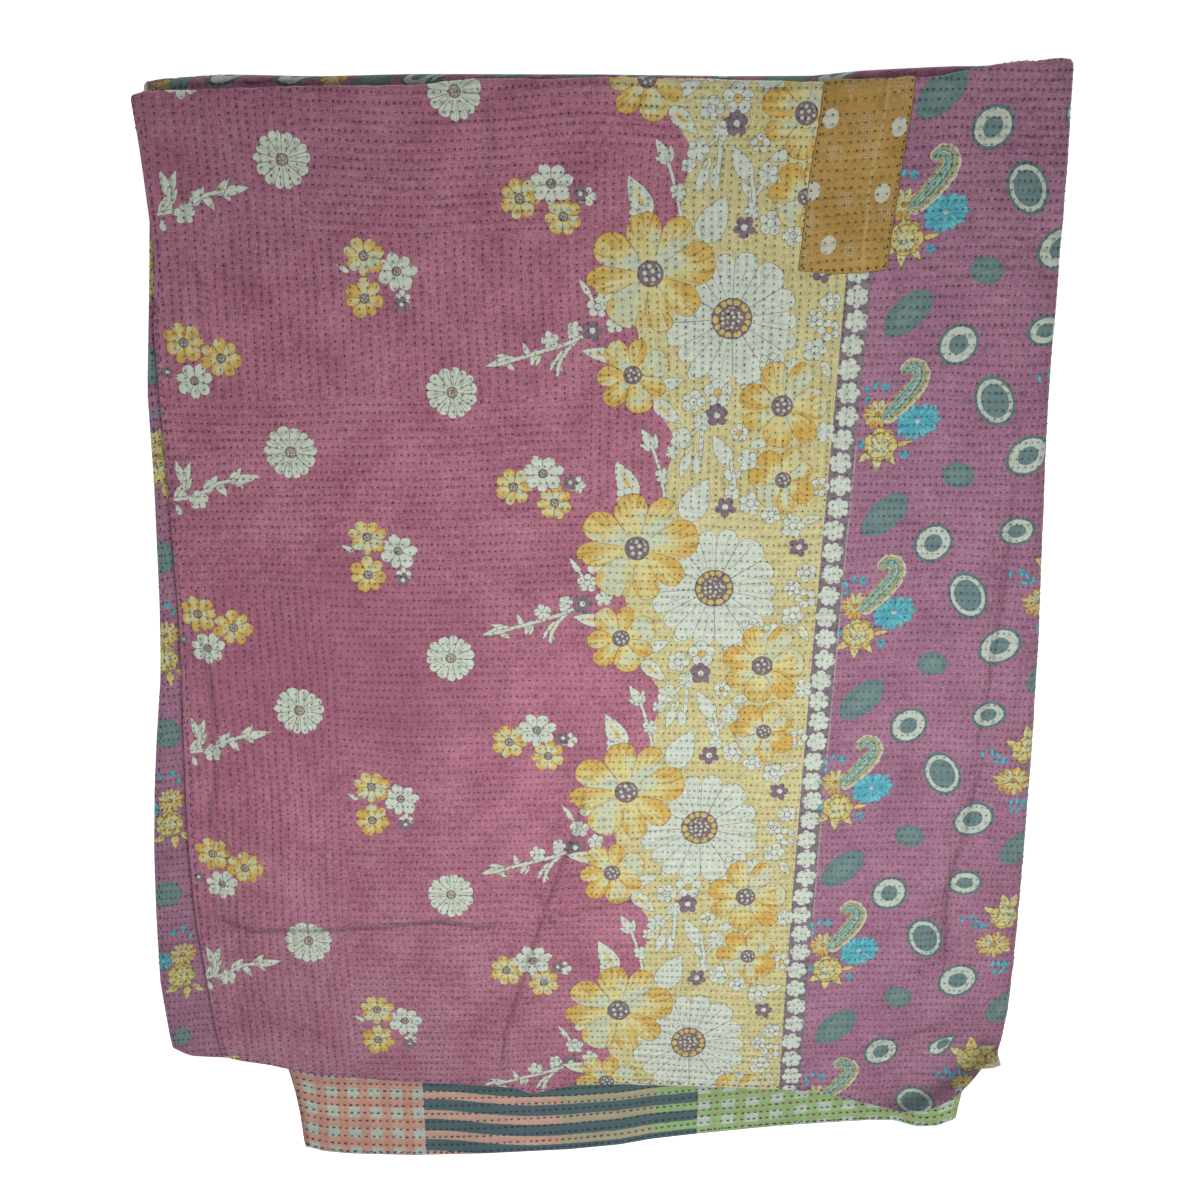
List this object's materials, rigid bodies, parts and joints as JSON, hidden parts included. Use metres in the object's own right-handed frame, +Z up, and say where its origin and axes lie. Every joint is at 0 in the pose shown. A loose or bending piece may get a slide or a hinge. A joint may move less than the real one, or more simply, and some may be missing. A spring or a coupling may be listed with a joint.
{
  "type": "folded kantha quilt",
  "caption": "Thin hand-stitched cotton quilt, folded in quarters and lying flat, with a small cloth patch sewn over the top fold",
  "frame": {"origin": "On the surface the quilt rests on, below the middle of its bounding box", "axes": "+X across the folded quilt to its side fold, +Y along it to the top fold, +Z up through the pile"},
  "size_m": [0.8193, 1.0434, 0.0258],
  "materials": {
    "print_cloth": "matte, thin cotton layers run through with small stitches",
    "patch_cloth": "matte, slubby cotton"
  },
  "bodies": {
    "root": {"quilt": "print_cloth", "ochre_patch": "patch_cloth"}
  },
  "joints": []
}
